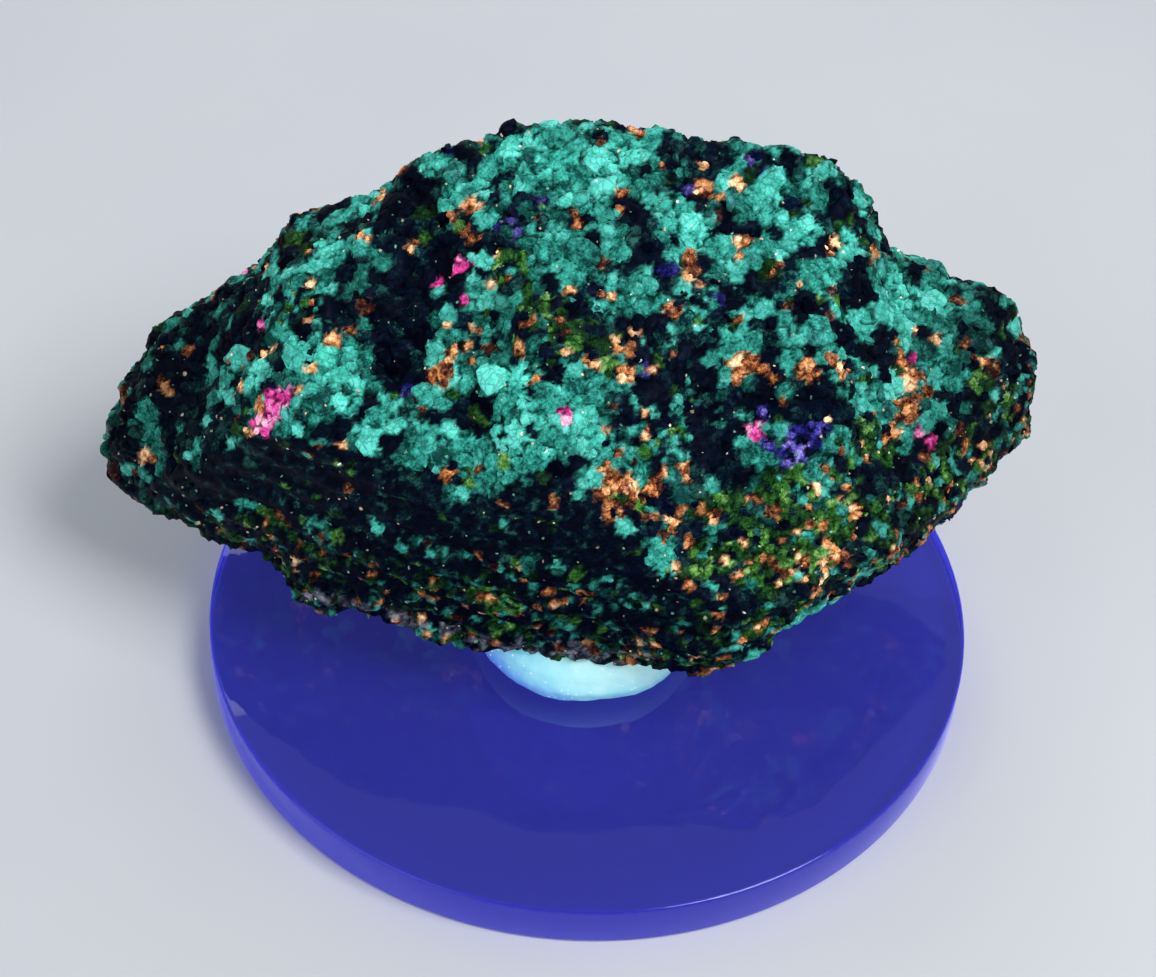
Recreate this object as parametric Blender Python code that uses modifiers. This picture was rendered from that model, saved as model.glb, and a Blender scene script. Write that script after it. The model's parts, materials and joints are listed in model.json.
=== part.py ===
"""Chlorophane and sphalerite specimen, stuck on a pat of tack to a round acrylic base.

The stone is one solid: a loft over five lines that run its length, then lumps, hollows, ledges
and blocky grains raised on the surface. Metres, +Z up, origin at the centre of the base's underside.
"""

import bmesh
import bpy
from mathutils import Vector, noise

MM = 0.001

# Base: a disc sawn from sheet and polished
BASE_DIAMETER = 100 * MM
BASE_THICKNESS = 6 * MM
BASE_EDGE = 0.4 * MM
BASE_SIDES = 96

# Gap that keeps touching pieces apart
GAP = 0.3 * MM

# Tack: a pat pressed between the base and the stone, as (radius, height above the base) in mm
TACK_CENTRE = Vector((-0.3, -3.6, 0.0)) * MM
TACK_PROFILE = (
    (0.0, 9.0), (10.0, 8.6), (12.9, 7.2), (14.6, 5.0), (15.4, 2.6), (14.9, 0.9), (13.6, 0.0), (0.0, 0.0),
)
TACK_SIDES = 40
TACK_UNEVEN = 0.35 * MM
TACK_UNEVEN_SIZE = 7 * MM

# Lines along the stone from its left tip to its right end, each corner as (x, y, z) in mm
CREST = (
    (-64, 8, 22.5), (-60.5, 10, 32), (-56, 12.5, 37.5), (-48, 17, 45), (-43.5, 18, 47.5), (-41, 19, 53.5),
    (-32, 21, 56), (-27, 21, 59), (-21, 22, 65), (-12, 23, 67.5), (6, 24, 66.5), (22, 23, 66.5),
    (29, 22.5, 63.5), (33.5, 22, 58), (35.5, 21.5, 50), (42, 21, 49.5), (52, 20, 45.5), (55, 19, 42),
    (57, 17.5, 36),
)
BROW = (
    (-64, 5, 21.5), (-56, -0.5, 26), (-50, -4, 33), (-44, -7, 39.5), (-37, -10, 45), (-30, -12, 45),
    (-20, -15, 43), (-15, -16, 42), (-8, -17.5, 47), (-4, -18, 45.5), (4, -20, 40), (12, -22, 33),
    (17, -23, 31.5), (26, -22, 33.5), (36, -15, 35), (46, -3, 32.5), (53, 5, 33), (57, 11, 34),
)
KEEL = (
    (-64, 7, 18), (-60, 4, 16), (-48, -2, 17), (-40, -6, 16), (-36.5, -8, 12), (-28, -11.5, 13.5),
    (-20, -14, 12), (-8, -15.5, 11), (2, -16.5, 12.5), (12, -20, 14.5), (18, -21, 17), (28, -17, 24.5),
    (38, -8, 27), (50, 5.5, 25.5), (57, 13, 29),
)
HEEL = (
    (-64, 10, 17.5), (-52, 14, 15), (-36, 18, 13), (-10, 22, 13), (10, 23, 14), (28, 20, 20),
    (44, 17, 22), (57, 16, 29),
)
BACK = (
    (-64, 12, 20), (-56, 22, 24), (-40, 32, 30), (-20, 37, 34), (0, 39, 36), (20, 37, 38), (36, 33, 34),
    (50, 28, 32), (57, 20, 32),
)
STATION_STEP = 2.0

# Points between those lines, each as (share of the way, swell out of the stone in mm)
FACE_POINTS = ((0.33, 2.5), (0.67, 2.5))
SCARP_POINT = (0.5, 0.8)
BELLY_POINT = (0.5, 1.0)
SHOULDER_POINT = (0.55, 3.5)

# Surface of the stone, in mm
LOFT_VOXEL = 1.2
LUMP_SIZE, LUMP_HEIGHT, LUMP_PLACE = 15.0, 1.4, Vector((3.1, 0.7, 9.2))
KNOB_SIZE, KNOB_HEIGHT = 6.5, 0.7
GRAIN_SIZE, GRAIN_HEIGHT, GRAIN_LEAN, GRAIN_EDGE = 5.2, 1.1, 0.55, 0.28
LEDGE_SPACING, LEDGE_HEIGHT, LEDGE_DIP = 4.6, 0.9, 0.22
LEDGE_WAVE_SIZE, LEDGE_WAVE = 9.0, 1.5
STONE_TRIANGLES = 7900

# Steps that draw a fresh random value for each grain
LIFT_DRAW, LEAN_DRAW = 61.7, 37.1

# Hollows in the bright face, each as its centre (x, y, z), radius and depth in mm
HOLLOWS = (
    ((-22, 8, 56), 9.0, 2.6),
    ((-24, -3, 51), 7.0, 2.4),
    ((31, 8, 52), 5.5, 2.2),
    ((14, -6, 48), 8.0, 1.2),
    ((52, 16, 41), 6.0, 1.6),
    ((-50, 6, 40), 8.0, 1.4),
)


def clear_scene():
    for obj in list(bpy.data.objects):
        bpy.data.objects.remove(obj, do_unlink=True)


def collection(name, shown=True):
    made = bpy.data.collections.new(name)
    made.hide_render = not shown
    bpy.context.scene.collection.children.link(made)
    return made


def material(name, colour, roughness, metallic=0.0):
    made = bpy.data.materials.new(name)
    made.use_nodes = True
    shader = made.node_tree.nodes["Principled BSDF"]
    shader.inputs["Base Color"].default_value = (*colour, 1.0)
    shader.inputs["Roughness"].default_value = roughness
    shader.inputs["Metallic"].default_value = metallic
    return made


def add_object(name, mesh, group, finish=None):
    obj = bpy.data.objects.new(name, mesh)
    group.objects.link(obj)
    if finish:
        mesh.materials.append(finish)
    return obj


def evaluated_mesh(obj, name):
    """A new mesh: the object's own with its modifiers worked in."""
    bpy.context.view_layer.update()
    graph = bpy.context.evaluated_depsgraph_get()
    mesh = bpy.data.meshes.new_from_object(obj.evaluated_get(graph))
    mesh.name = name
    return mesh


def on_line(line, x):
    """Point of a line at one station, in mm."""
    for start, end in zip(line, line[1:]):
        if x <= end[0]:
            return Vector(start).lerp(Vector(end), (x - start[0]) / (end[0] - start[0]))
    return Vector(line[-1])


def swelled(start, end, share, swell):
    """Point between two corners of a cross-section, pushed out of the stone by swell."""
    along = end - start
    outward = Vector((0, along.z, -along.y)).normalized()
    return start.lerp(end, share) + outward * swell


def cross_section(x):
    """Ring of points round the stone at one station, from the crest over the front to the back."""
    crest, brow, keel, heel, back = (on_line(line, x) for line in (CREST, BROW, KEEL, HEEL, BACK))
    return [
        crest,
        swelled(crest, brow, *FACE_POINTS[0]),
        swelled(crest, brow, *FACE_POINTS[1]),
        brow,
        swelled(brow, keel, *SCARP_POINT),
        keel,
        swelled(keel, heel, *BELLY_POINT),
        heel,
        back,
        swelled(back, crest, *SHOULDER_POINT),
    ]


def lofted_stone():
    """Closed skin through all the cross-sections, remeshed to even quads."""
    skin = bmesh.new()
    rings = []
    x, last = CREST[0][0], CREST[-1][0]
    while x <= last:
        rings.append([skin.verts.new(point * MM) for point in cross_section(x)])
        x += STATION_STEP
    for near, far in zip(rings, rings[1:]):
        for i in range(len(near)):
            j = (i + 1) % len(near)
            skin.faces.new((near[i], near[j], far[j], far[i]))
    skin.faces.new(rings[0])
    skin.faces.new(rings[-1])
    bmesh.ops.recalc_face_normals(skin, faces=skin.faces)
    mesh = bpy.data.meshes.new("stone_loft")
    skin.to_mesh(mesh)
    skin.free()
    loft = add_object("stone_loft", mesh, bpy.context.scene.collection)
    remesh = loft.modifiers.new("even_quads", "REMESH")
    remesh.mode = "VOXEL"
    remesh.voxel_size = LOFT_VOXEL * MM
    even = evaluated_mesh(loft, "specimen")
    bpy.data.objects.remove(loft, do_unlink=True)
    return even


def smoothstep(low, high, value):
    t = min(max((value - low) / (high - low), 0.0), 1.0)
    return t * t * (3 - 2 * t)


def scarp_share(point, normal):
    """1 on the dark parted face under the brow, 0 on the granular stone around it."""
    brow, keel = on_line(BROW, point.x), on_line(KEEL, point.x)
    under_brow = smoothstep(0.5, -2.5, point.z - brow.z)
    over_keel = smoothstep(0.15, 0.4, (point.z - keel.z) / max(brow.z - keel.z, 1.0))
    facing_front = smoothstep(0.1, 0.5, -normal.y)
    left_of_end = smoothstep(20, 8, point.x)
    return under_brow * over_keel * facing_front * left_of_end


def grain_relief(point):
    """Height of the blocky grain that holds this point: each stands and leans its own way, in a seam."""
    place = point / GRAIN_SIZE
    distances, centres = noise.voronoi(place)
    lift = 0.3 + 0.7 * noise.cell_vector(centres[0] * LIFT_DRAW).x
    slope = noise.cell_vector(centres[0] * LEAN_DRAW) * 2 - Vector((1, 1, 1))
    lean = GRAIN_LEAN * (place - centres[0]).dot(slope)
    top = smoothstep(0.0, GRAIN_EDGE, distances[1] - distances[0])
    return GRAIN_HEIGHT * (top * (lift + lean) - 0.5)


def ledge_relief(point):
    """Low steps along the parting of the dark face, as layers broken back one behind the other."""
    wave = LEDGE_WAVE * noise.noise(point / LEDGE_WAVE_SIZE)
    layer = (point.z + LEDGE_DIP * point.x + wave) / LEDGE_SPACING
    step = layer % 1
    return LEDGE_HEIGHT * (smoothstep(0.0, 0.8, step) - smoothstep(0.85, 1.0, step))


def hollow_depth(point):
    """How deep the hollows are at this point: each is deepest in its inner quarter."""
    return sum(
        depth * smoothstep(radius, radius / 4, (point - Vector(centre)).length)
        for centre, radius, depth in HOLLOWS
    )


def relief(point, normal):
    """How far the finished surface stands off the loft at this point, in mm."""
    parted = scarp_share(point, normal)
    lumps = LUMP_HEIGHT * noise.noise(point / LUMP_SIZE + LUMP_PLACE)
    knobs = KNOB_HEIGHT * noise.noise(point / KNOB_SIZE)
    granular = grain_relief(point) + knobs
    return lumps + (1 - parted) * granular + parted * ledge_relief(point) - hollow_depth(point)


def build_stone(group):
    mesh = lofted_stone()
    normals = [vertex.normal.copy() for vertex in mesh.vertices]
    for vertex, normal in zip(mesh.vertices, normals):
        vertex.co += normal * relief(vertex.co / MM, normal) * MM
    stone = add_object("specimen", mesh, group, material("chlorophane_ore", (0.03, 0.16, 0.13), 0.55))
    facets = stone.modifiers.new("broad_facets", "DECIMATE")
    facets.ratio = STONE_TRIANGLES / (2 * len(mesh.polygons))
    return stone


def build_base(group):
    bpy.ops.mesh.primitive_cylinder_add(
        vertices=BASE_SIDES, radius=BASE_DIAMETER / 2, depth=BASE_THICKNESS, location=(0, 0, BASE_THICKNESS / 2)
    )
    base = bpy.context.object
    base.name = base.data.name = "base_disc"
    base.data.materials.append(material("blue_acrylic", (0.03, 0.03, 0.4), 0.06))
    base.users_collection[0].objects.unlink(base)
    group.objects.link(base)
    bevel = base.modifiers.new("polished_edge", "BEVEL")
    bevel.width = BASE_EDGE
    bevel.segments = 1
    bevel.limit_method = "ANGLE"
    return base


def turned_tack():
    """The pat before the stone is pressed in: a turned lump, a little out of round."""
    outline = bmesh.new()
    points = [outline.verts.new((radius * MM, 0, height * MM)) for radius, height in TACK_PROFILE]
    for start, end in zip(points, points[1:]):
        outline.edges.new((start, end))
    mesh = bpy.data.meshes.new("tack_outline")
    outline.to_mesh(mesh)
    outline.free()
    pat = add_object("tack_outline", mesh, bpy.context.scene.collection)
    turn = pat.modifiers.new("turned", "SCREW")
    turn.steps = turn.render_steps = TACK_SIDES
    turn.use_merge_vertices = True
    turn.merge_threshold = 0.00005
    turned = evaluated_mesh(pat, "putty")
    bpy.data.objects.remove(pat, do_unlink=True)
    centre = TACK_CENTRE + Vector((0, 0, BASE_THICKNESS + GAP))
    for vertex in turned.vertices:
        sideways = Vector((vertex.co.x, vertex.co.y, 0)).normalized()
        vertex.co += sideways * noise.noise(vertex.co / TACK_UNEVEN_SIZE) * TACK_UNEVEN
        vertex.co += centre
    return turned


def build_tack(group, cutters, stone):
    """The pat of tack, with the print of the stone's underside pressed into its top."""
    tack = add_object("putty", turned_tack(), group, material("white_tack", (0.75, 0.92, 0.95), 0.6))
    pressed = add_object("stone_print", evaluated_mesh(stone, "stone_print"), cutters)
    normals = [vertex.normal.copy() for vertex in pressed.data.vertices]
    for vertex, normal in zip(pressed.data.vertices, normals):
        vertex.co += normal * GAP
    pressed.location.z = -GAP
    pressed.hide_render = True
    pressed.display_type = "WIRE"
    cut = tack.modifiers.new("stone_pressed_in", "BOOLEAN")
    cut.operation = "DIFFERENCE"
    cut.solver = "EXACT"
    cut.use_self = True
    cut.object = pressed
    return tack


def main():
    clear_scene()
    shown = collection("chlorophane_and_sphalerite_specimen")
    cutters = collection("cutters", shown=False)
    build_base(shown)
    stone = build_stone(shown)
    build_tack(shown, cutters, stone)


main()
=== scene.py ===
import json
import math

import bmesh
import bpy
import numpy as np
from mathutils import Matrix, Vector, noise
from mathutils.bvhtree import BVHTree
from mathutils.kdtree import KDTree

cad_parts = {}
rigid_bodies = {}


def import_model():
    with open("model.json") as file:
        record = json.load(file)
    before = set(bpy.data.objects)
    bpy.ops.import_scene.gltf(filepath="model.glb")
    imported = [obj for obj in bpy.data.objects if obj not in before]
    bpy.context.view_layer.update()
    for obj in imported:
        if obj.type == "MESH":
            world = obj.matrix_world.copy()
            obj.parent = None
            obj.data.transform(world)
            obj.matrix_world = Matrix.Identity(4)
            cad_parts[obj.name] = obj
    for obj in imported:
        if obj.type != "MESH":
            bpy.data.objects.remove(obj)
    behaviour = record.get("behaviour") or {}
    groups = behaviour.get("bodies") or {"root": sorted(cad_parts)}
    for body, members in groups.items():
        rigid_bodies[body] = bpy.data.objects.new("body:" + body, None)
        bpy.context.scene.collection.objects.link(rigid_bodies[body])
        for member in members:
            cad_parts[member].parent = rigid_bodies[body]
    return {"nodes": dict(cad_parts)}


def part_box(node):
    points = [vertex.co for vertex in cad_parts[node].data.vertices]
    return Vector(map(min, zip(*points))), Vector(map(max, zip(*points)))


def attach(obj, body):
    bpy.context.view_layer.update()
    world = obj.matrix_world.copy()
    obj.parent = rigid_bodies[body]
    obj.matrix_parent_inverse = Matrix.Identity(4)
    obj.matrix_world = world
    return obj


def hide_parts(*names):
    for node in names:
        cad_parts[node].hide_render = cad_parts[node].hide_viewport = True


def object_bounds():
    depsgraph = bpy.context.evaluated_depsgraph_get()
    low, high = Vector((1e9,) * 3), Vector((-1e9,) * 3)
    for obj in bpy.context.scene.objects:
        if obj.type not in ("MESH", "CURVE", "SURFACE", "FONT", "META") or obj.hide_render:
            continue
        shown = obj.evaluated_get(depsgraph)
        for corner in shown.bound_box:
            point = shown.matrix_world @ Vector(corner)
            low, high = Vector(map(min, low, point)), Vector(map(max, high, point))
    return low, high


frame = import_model()
cad_low, cad_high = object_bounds()


# Studio. The camera looks down on the front of the specimen, a touch rolled, from where the
# photograph was taken. Round it are a plain pale floor, a big soft lamp on the right that throws
# the shadow to the left, and two weaker ones that lift the other sides.
MM = 0.001
PHOTO_SIZE_PX = (1156, 977)
FOCAL_PX = 2600
SENSOR_WIDTH = 36
CAMERA_TARGET = Vector((-1.99, 26.62, 0.0)) * MM
CAMERA_DISTANCE = 368.5 * MM
CAMERA_ELEVATION = math.radians(45.74)
CAMERA_ROLL = math.radians(2.51)

forward = Vector((0, math.cos(CAMERA_ELEVATION), -math.sin(CAMERA_ELEVATION)))
level_right = Vector((1, 0, 0))
level_up = level_right.cross(forward)
camera_right = math.cos(CAMERA_ROLL) * level_right + math.sin(CAMERA_ROLL) * level_up
camera_up = math.cos(CAMERA_ROLL) * level_up - math.sin(CAMERA_ROLL) * level_right
camera_place = CAMERA_TARGET - forward * CAMERA_DISTANCE

camera_data = bpy.data.cameras.new("camera")
camera_data.sensor_width = SENSOR_WIDTH
camera_data.lens = FOCAL_PX / PHOTO_SIZE_PX[0] * SENSOR_WIDTH
camera = bpy.data.objects.new("camera", camera_data)
camera.matrix_world = Matrix.Translation(camera_place) @ Matrix(
    (camera_right, camera_up, -forward)
).transposed().to_4x4()
bpy.context.scene.collection.objects.link(camera)
bpy.context.scene.camera = camera
bpy.context.scene.view_settings.view_transform = "Standard"

# Each lamp's place and width in metres, its power in watts and its colour
LAMPS = {
    "key": ((0.34, -0.22, 0.62), 0.34, 4.2, (1.0, 0.98, 0.96)),
    "fill": ((-0.6, -0.45, 0.45), 0.7, 1.4, (0.92, 0.95, 1.0)),
    "back": ((-0.15, 0.7, 0.5), 0.6, 2.0, (0.95, 0.97, 1.0)),
}
LAMPS_AIM = Vector((0, 0, 0.03))
SKY_COLOUR = (0.80, 0.84, 0.90, 1)
SKY_STRENGTH = 0.32

for lamp_name, (lamp_place, lamp_width, power, lamp_colour) in LAMPS.items():
    lamp = bpy.data.lights.new(lamp_name, "AREA")
    lamp.size = lamp_width
    lamp.energy = power
    lamp.color = lamp_colour
    holder = bpy.data.objects.new(lamp_name, lamp)
    holder.location = lamp_place
    holder.rotation_euler = (LAMPS_AIM - Vector(lamp_place)).to_track_quat("-Z", "Y").to_euler()
    bpy.context.scene.collection.objects.link(holder)

world = bpy.data.worlds.new("studio")
world.use_nodes = True
world.node_tree.nodes["Background"].inputs["Color"].default_value = SKY_COLOUR
world.node_tree.nodes["Background"].inputs["Strength"].default_value = SKY_STRENGTH
bpy.context.scene.world = world


def new_material(name):
    """A node material, its tree and its Principled shader."""
    made = bpy.data.materials.new(name)
    made.use_nodes = True
    return made, made.node_tree, made.node_tree.nodes["Principled BSDF"]


def add_node(tree, kind, settings=None, **sockets):
    """A node with its settings, and its sockets each given a value or joined to another's output."""
    node = tree.nodes.new(kind)
    for key, value in (settings or {}).items():
        setattr(node, key, value)
    for key, value in sockets.items():
        socket = node.inputs[int(key[1:]) if key[1:].isdigit() else key.replace("_", " ")]
        if isinstance(value, bpy.types.NodeSocket):
            tree.links.new(value, socket)
        else:
            socket.default_value = value
    return node


def colour_ramp(tree, factor, stops):
    """Colour that runs through the stops, each as (position, (red, green, blue))."""
    node = add_node(tree, "ShaderNodeValToRGB", Fac=factor)
    ramp = node.color_ramp
    ramp.elements[0].position = stops[0][0]
    ramp.elements[1].position = stops[-1][0]
    for position, _ in stops[1:-1]:
        ramp.elements.new(position)
    for element, (_, colour) in zip(ramp.elements, stops):
        element.color = (*colour, 1)
    return node.outputs["Color"]


def own_place(tree):
    """The piece's own coordinates."""
    return add_node(tree, "ShaderNodeTexCoord").outputs["Object"]


def object_noise(tree, waves, octaves=3.0, roughness=0.55):
    """Noise on the piece's own coordinates; it has so many waves in a metre."""
    place = own_place(tree)
    return add_node(
        tree, "ShaderNodeTexNoise", Vector=place, Scale=waves, Detail=octaves, Roughness=roughness
    ).outputs["Fac"]


def add_piece(name, mesh, material, smooth=True):
    piece = bpy.data.objects.new(name, mesh)
    bpy.context.scene.collection.objects.link(piece)
    mesh.materials.clear()
    mesh.materials.append(material)
    mesh.polygons.foreach_set("use_smooth", [smooth] * len(mesh.polygons))
    return piece


FLOOR_SIZE = 6.0
FLOOR_DROP = 0.05 * MM
FLOOR_WAVES = 9.0
FLOOR_TONES = ((0.3, (0.60, 0.63, 0.68)), (0.7, (0.64, 0.67, 0.71)))
FLOOR_ROUGHNESS = 0.6

floor_mesh = bpy.data.meshes.new("floor")
floor_form = bmesh.new()
bmesh.ops.create_grid(floor_form, x_segments=1, y_segments=1, size=FLOOR_SIZE / 2)
bmesh.ops.translate(floor_form, verts=floor_form.verts, vec=(0, 0, -FLOOR_DROP))
floor_form.to_mesh(floor_mesh)
floor_form.free()
floor_material, tree, shader = new_material("pale_floor")
floor_colour = colour_ramp(tree, object_noise(tree, FLOOR_WAVES), FLOOR_TONES)
tree.links.new(floor_colour, shader.inputs["Base Color"])
shader.inputs["Roughness"].default_value = FLOOR_ROUGHNESS
floor = add_piece("floor", floor_mesh, floor_material)


# Base. A disc laser-cut from 6 mm acrylic that is dyed blue-violet, with a polished edge. The sheet
# glows with painted light: faint on its face, where it stands in for light through the sheet off the
# floor below, and bright at its rim, where it stands in for light that runs inside the sheet and comes
# out at its edge.
RIM_ROUNDING = 0.45 * MM
RIM_STEPS = 4
DISC_SIDES = 256
RIM_SHARP_ANGLE = math.radians(40)
ACRYLIC_TINT = (0.80, 0.82, 1.0, 1)
ACRYLIC_IOR = 1.49
DYE_COLOUR = (0.15, 0.17, 0.80, 1)
DYE_DENSITY = 255.0
# Painted light: the faint glow of the face and the bright glow of the rim
FACE_GLOW, RIM_GLOW = (0.026, 0.028, 0.11), (0.050, 0.045, 0.80)
SHEET_GLOW = 0.45
RIM_GLOW_FROM, RIM_GLOW_FULL = 0.5 * MM, 0.1 * MM
SMUDGES, SMUDGE_EDGE = (60.0, 4.0), (0.55, 0.8)
POLISHED, SMUDGED = 0.03, 0.12
disc_low, disc_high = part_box("base_disc")
disc_radius = (disc_high.x - disc_low.x) / 2


def rounded_rim():
    """Half section of the disc, from the middle of its face over the rim to the middle below."""
    yield 0.0, disc_high.z
    for centre_z, first in ((disc_high.z - RIM_ROUNDING, 90), (disc_low.z + RIM_ROUNDING, 0)):
        for step in range(RIM_STEPS + 1):
            angle = math.radians(first - 90 * step / RIM_STEPS)
            radius = disc_radius - RIM_ROUNDING + RIM_ROUNDING * math.cos(angle)
            yield radius, centre_z + RIM_ROUNDING * math.sin(angle)
    yield 0.0, disc_low.z


def turned(name, section, sides):
    """Closed mesh turned round the Z axis from a half section that starts and ends on the axis."""
    form = bmesh.new()
    rings = []
    for radius, z in section:
        if radius == 0:
            rings.append([form.verts.new((0, 0, z))] * sides)
        else:
            turns = (math.tau * side / sides for side in range(sides))
            rings.append([form.verts.new((radius * math.cos(a), radius * math.sin(a), z)) for a in turns])
    for upper, lower in zip(rings, rings[1:]):
        for side in range(sides):
            after = (side + 1) % sides
            corners = dict.fromkeys((upper[side], lower[side], lower[after], upper[after]))
            form.faces.new(tuple(corners))
    bmesh.ops.recalc_face_normals(form, faces=form.faces)
    mesh = bpy.data.meshes.new(name)
    form.to_mesh(mesh)
    form.free()
    return mesh


def ranged(tree, value, low, high, start=0.0, end=1.0):
    """From start, where the value is low or less, evenly to end, where it is high or more."""
    return add_node(
        tree, "ShaderNodeMapRange", Value=value, From_Min=low, From_Max=high, To_Min=start, To_Max=end
    ).outputs["Result"]


disc_mesh = turned("acrylic_disc", rounded_rim(), DISC_SIDES)
disc_material, tree, shader = new_material("violet_blue_acrylic")
shader.inputs["Base Color"].default_value = ACRYLIC_TINT
shader.inputs["Transmission Weight"].default_value = 1.0
shader.inputs["IOR"].default_value = ACRYLIC_IOR
flat_place = add_node(
    tree, "ShaderNodeVectorMath", {"operation": "MULTIPLY"}, Vector=own_place(tree), _1=(1, 1, 0)
).outputs["Vector"]
off_axis = add_node(
    tree, "ShaderNodeVectorMath", {"operation": "LENGTH"}, Vector=flat_place
).outputs["Value"]
# Painted light: the sheet's glow, brighter towards the rim
rim_share = ranged(tree, off_axis, disc_radius - RIM_GLOW_FROM, disc_radius - RIM_GLOW_FULL)
painted_sheet_glow = colour_ramp(tree, rim_share, ((0.0, FACE_GLOW), (1.0, RIM_GLOW)))
tree.links.new(painted_sheet_glow, shader.inputs["Emission Color"])
face_roughness = ranged(tree, object_noise(tree, *SMUDGES), *SMUDGE_EDGE, POLISHED, SMUDGED)
tree.links.new(face_roughness, shader.inputs["Roughness"])
shader.inputs["Emission Strength"].default_value = SHEET_GLOW
dye = add_node(tree, "ShaderNodeVolumeAbsorption", Color=DYE_COLOUR, Density=DYE_DENSITY)
tree.links.new(dye.outputs["Volume"], tree.nodes["Material Output"].inputs["Volume"])
disc = add_piece("acrylic_disc", disc_mesh, disc_material)
disc.data.set_sharp_from_angle(angle=RIM_SHARP_ANGLE)
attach(disc, "root")
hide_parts("base_disc")


# Tack. A thumb-rolled ball of white reusable tack, pressed flat between the disc and the stone so
# that it bulges out at the sides. It is painted pale cyan and lit towards its right side and its top,
# and blue in painted shade towards its lower left edge.
TACK_VOXEL = 0.35 * MM
MERGE_DISTANCE = 0.001 * MM
# Thumb marks, as (width, depth) in mm, and the share of its depth by which each is sunk
TACK_DENTS = ((3.2, 0.16), (1.1, 0.07))
DENT_SINK = 0.4
# Painted light and shade: the tack's colour runs from blue in its shade to pale cyan where it is lit
TACK_TONES = (
    (0.30, (0.07, 0.15, 0.80)), (0.58, (0.16, 0.42, 0.88)), (0.78, (0.28, 0.70, 0.82)),
    (0.98, (0.48, 0.86, 0.88)),
)
SIDE_LIGHT, TOP_LIGHT, MOTTLED_LIGHT = 0.45, 0.40, 0.25
TOP_LIGHT_HEIGHT = 4 * MM
TACK_MOTTLE_WAVES = 420.0
DOTS_PER_METRE = 1150.0
DOT_CORE, DOT_EDGE = 0.10, 0.20
DOT_COLOUR = (0.85, 1.0, 0.98, 1)
# The tack's painted glow, though it is no lamp
TACK_GLOW = 0.45
TACK_ROUGHNESS = 0.5
TACK_GRAIN, TACK_GRAIN_HEIGHT, TACK_GRAIN_STRENGTH = (1400.0, 5.0), 0.15 * MM, 0.5


def coordinates(mesh):
    flat = np.empty(len(mesh.vertices) * 3, np.float32)
    mesh.vertices.foreach_get("co", flat)
    return flat.reshape(-1, 3).astype(float)


def normals_of(mesh):
    flat = np.empty(len(mesh.vertices) * 3, np.float32)
    mesh.vertex_normals.foreach_get("vector", flat)
    return flat.reshape(-1, 3).astype(float)


def move_to(mesh, points):
    """Gives the mesh's vertices these places, none of them outside the CAD box."""
    inside = np.clip(points, np.array(cad_low), np.array(cad_high))
    mesh.vertices.foreach_set("co", inside.astype(np.float32).ravel())
    mesh.update()


def noise_at(points, size, offset=0.0):
    """Smooth noise, from about -1 to 1, at each point; size is one wave, in the points' unit."""
    return np.array([noise.noise(Vector(point)) for point in points / size + offset])


def settled_mesh(obj, name):
    """The object's mesh with its modifiers worked in, as a plain mesh."""
    bpy.context.view_layer.update()
    graph = bpy.context.evaluated_depsgraph_get()
    made = bpy.data.meshes.new_from_object(obj.evaluated_get(graph))
    made.name = name
    return made


def remeshed_copy(node, name, voxel):
    """Evenly meshed copy of a CAD node, as a mesh of its own."""
    mesh = frame["nodes"][node].data.copy()
    form = bmesh.new()
    form.from_mesh(mesh)
    bmesh.ops.remove_doubles(form, verts=form.verts, dist=MERGE_DISTANCE)
    form.to_mesh(mesh)
    form.free()
    holder = bpy.data.objects.new(name, mesh)
    bpy.context.scene.collection.objects.link(holder)
    remesh = holder.modifiers.new("even", "REMESH")
    remesh.mode = "VOXEL"
    remesh.voxel_size = voxel
    made = settled_mesh(holder, name)
    bpy.data.objects.remove(holder)
    return made


def maths(tree, operation, *values):
    sockets = {f"_{index}": value for index, value in enumerate(values)}
    return add_node(tree, "ShaderNodeMath", {"operation": operation}, **sockets).outputs["Value"]


def bumped(tree, shader, height, distance, strength):
    bump = add_node(tree, "ShaderNodeBump", Height=height, Distance=distance, Strength=strength)
    tree.links.new(bump.outputs["Normal"], shader.inputs["Normal"])


tack_mesh = remeshed_copy("putty", "tack_pat", TACK_VOXEL)
tack_points = coordinates(tack_mesh)
tack_push = sum(depth * (noise_at(tack_points / MM, width) - DENT_SINK) for width, depth in TACK_DENTS)
move_to(tack_mesh, tack_points + normals_of(tack_mesh) * tack_push[:, None] * MM)
tack_low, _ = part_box("putty")

tack_material, tree, shader = new_material("glowing_white_tack")
axes = add_node(tree, "ShaderNodeSeparateXYZ", Vector=own_place(tree))
# Painted light: lighter towards the right side and the top, with a mottle
lit = 0.0
for share, light in (
    (ranged(tree, axes.outputs["X"], tack_low.x, 0.0), SIDE_LIGHT),
    (ranged(tree, axes.outputs["Z"], tack_low.z, tack_low.z + TOP_LIGHT_HEIGHT), TOP_LIGHT),
    (object_noise(tree, TACK_MOTTLE_WAVES), MOTTLED_LIGHT),
):
    lit = maths(tree, "MULTIPLY_ADD", share, light, lit)
dots = add_node(
    tree, "ShaderNodeTexVoronoi", {"feature": "F1"}, Vector=own_place(tree), Scale=DOTS_PER_METRE
).outputs["Distance"]
dotted = ranged(tree, dots, DOT_CORE, DOT_EDGE, 1.0, 0.0)
tack_tone = colour_ramp(tree, lit, TACK_TONES)
# A Mix node's sockets 0, 6 and 7 are its factor and two colours, and its colour comes out at 2
tack_colour = add_node(
    tree, "ShaderNodeMix", {"data_type": "RGBA"}, _0=dotted, _6=tack_tone, _7=DOT_COLOUR
).outputs[2]
tree.links.new(tack_colour, shader.inputs["Base Color"])
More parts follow.
